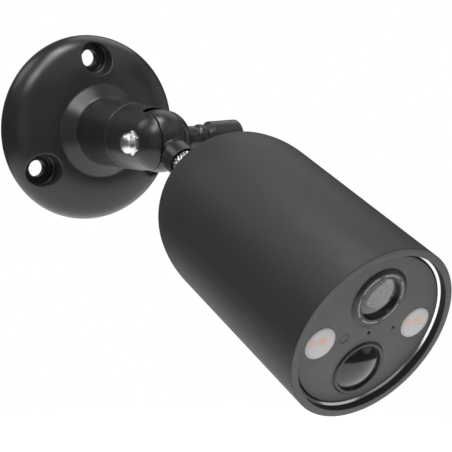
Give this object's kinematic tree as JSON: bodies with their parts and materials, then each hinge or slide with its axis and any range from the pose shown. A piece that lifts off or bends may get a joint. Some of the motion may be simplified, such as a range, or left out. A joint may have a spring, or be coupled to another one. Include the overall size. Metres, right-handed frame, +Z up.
{
  "type": "security camera",
  "caption": "Battery security camera with a bullet-shaped housing, lens, spotlights and motion sensor, on a wall bracket that swivels and tilts and is locked by a thumb knob.",
  "frame": {"origin": "centre of the screw pattern on the wall plate's back face, which lies against the wall", "axes": "+Z up, -Y out of the wall towards the scene, +X along the tilt axis to the thumb knob"},
  "size_m": [0.072, 0.1787, 0.1029],
  "materials": {
    "bracket_coat": "satin black powder coat on die-cast alloy",
    "knob_plastic": "satin black moulded plastic",
    "steel": "zinc-plated",
    "polished_steel": "bright nickel",
    "brass": "machined",
    "housing_plastic": "matt soft-touch moulded plastic",
    "panel_plastic": "fine matt grey",
    "trim_silver": "plated ring",
    "seal_rubber": "matt",
    "flap_rubber": "matt silicone",
    "bezel_plastic": "black moulded plastic",
    "optical_glass": "coated glass",
    "motion_plastic": "smooth dark infrared plastic",
    "light_plastic": "milky diffuser",
    "tinted_plastic": "tinted clear plastic",
    "circuit_board": "solder mask",
    "chip_black": "moulded component",
    "phosphor": "phosphor",
    "metal_can": "tinned",
    "frame_plastic": "moulded",
    "cell_wrap": "shrink-wrapped",
    "antenna_film": "copper film",
    "speaker_frame": "matt",
    "button_plastic": "moulded"
  },
  "bodies": {
    "base": {"wall_plate": "bracket_coat"},
    "fork": {"swivel_fork": "bracket_coat", "swivel_screw": "steel", "swivel_washer": "steel", "cap_nut": "polished_steel"},
    "clamp": {"clamp_screw": "steel", "thumb_knob": "knob_plastic"},
    "knuckle": {"tilt_knuckle": "bracket_coat", "mount_stud": "steel"},
    "collar": {"knurled_collar": "polished_steel"},
    "flap": {"port_flap": "flap_rubber"},
    "button": {"power_button": "button_plastic"},
    "camera": {"battery_cell_left": "cell_wrap", "battery_cell_right": "cell_wrap", "battery_connector": "frame_plastic", "battery_cradle": "frame_plastic", "board_screws": "steel", "button_switch": "chip_black", "carrier_screws": "steel", "daylight_sensor": "chip_black", "daylight_window": "tinted_plastic", "front_carrier": "frame_plastic", "front_panel": "panel_plastic", "image_sensor": "chip_black", "indicator_light": "phosphor", "indicator_pipe": "tinted_plastic", "lens_barrel": "bezel_plastic", "lens_bezel": "bezel_plastic", "lens_element": "optical_glass", "lens_glass": "optical_glass", "lens_holder": "bezel_plastic", "light_board_left": "circuit_board", "light_board_right": "circuit_board", "light_chips_left": "phosphor", "light_chips_right": "phosphor", "light_window_left": "light_plastic", "light_window_right": "light_plastic", "main_board": "circuit_board", "main_housing": "housing_plastic", "microphone": "chip_black", "motion_board": "circuit_board", "motion_lens": "motion_plastic", "motion_ring": "bezel_plastic", "motion_sensor": "metal_can", "panel_seal": "seal_rubber", "port_bezel": "bezel_plastic", "port_board": "circuit_board", "sensor_board": "circuit_board", "shield_can": "metal_can", "speaker": "speaker_frame", "strip_board": "circuit_board", "stud_insert": "brass", "trim_ring": "trim_silver", "usb_socket": "metal_can", "wifi_antenna": "antenna_film"}
  },
  "joints": [
    {"name": "base_swivel", "type": "hinge", "parent": "base", "child": "fork", "pos_m": [0, 0, 0], "axis": [0, -1, 0], "continuous": true},
    {"name": "camera_tilt", "type": "hinge", "parent": "fork", "child": "knuckle", "pos_m": [0, -0.0568, 0], "axis": [1, 0, 0], "range_deg": [-105, 64]},
    {"name": "camera_roll", "type": "hinge", "parent": "knuckle", "child": "camera", "pos_m": [0, -0.0568, 0], "axis": [0, -0.9373, -0.3486], "range_deg": [-180, 180]},
    {"name": "collar_turn", "type": "hinge", "parent": "knuckle", "child": "collar", "pos_m": [0, -0.0568, 0], "axis": [0, -0.9373, -0.3486], "continuous": true},
    {"name": "knob_turn", "type": "hinge", "parent": "fork", "child": "clamp", "pos_m": [0, -0.0568, 0], "axis": [1, 0, 0], "range_deg": [0, 360]},
    {"name": "flap_hinge", "type": "hinge", "parent": "camera", "child": "flap", "pos_m": [0, -0.10713, -0.04726], "axis": [1, 0, 0], "range_deg": [0, 110]},
    {"name": "button_press", "type": "slide", "parent": "camera", "child": "button", "axis": [0, -0.3486, 0.9373], "range_m": [0, 0.00035], "stiffness_N_per_m": 3000, "springref_m": -0.0001}
  ]
}
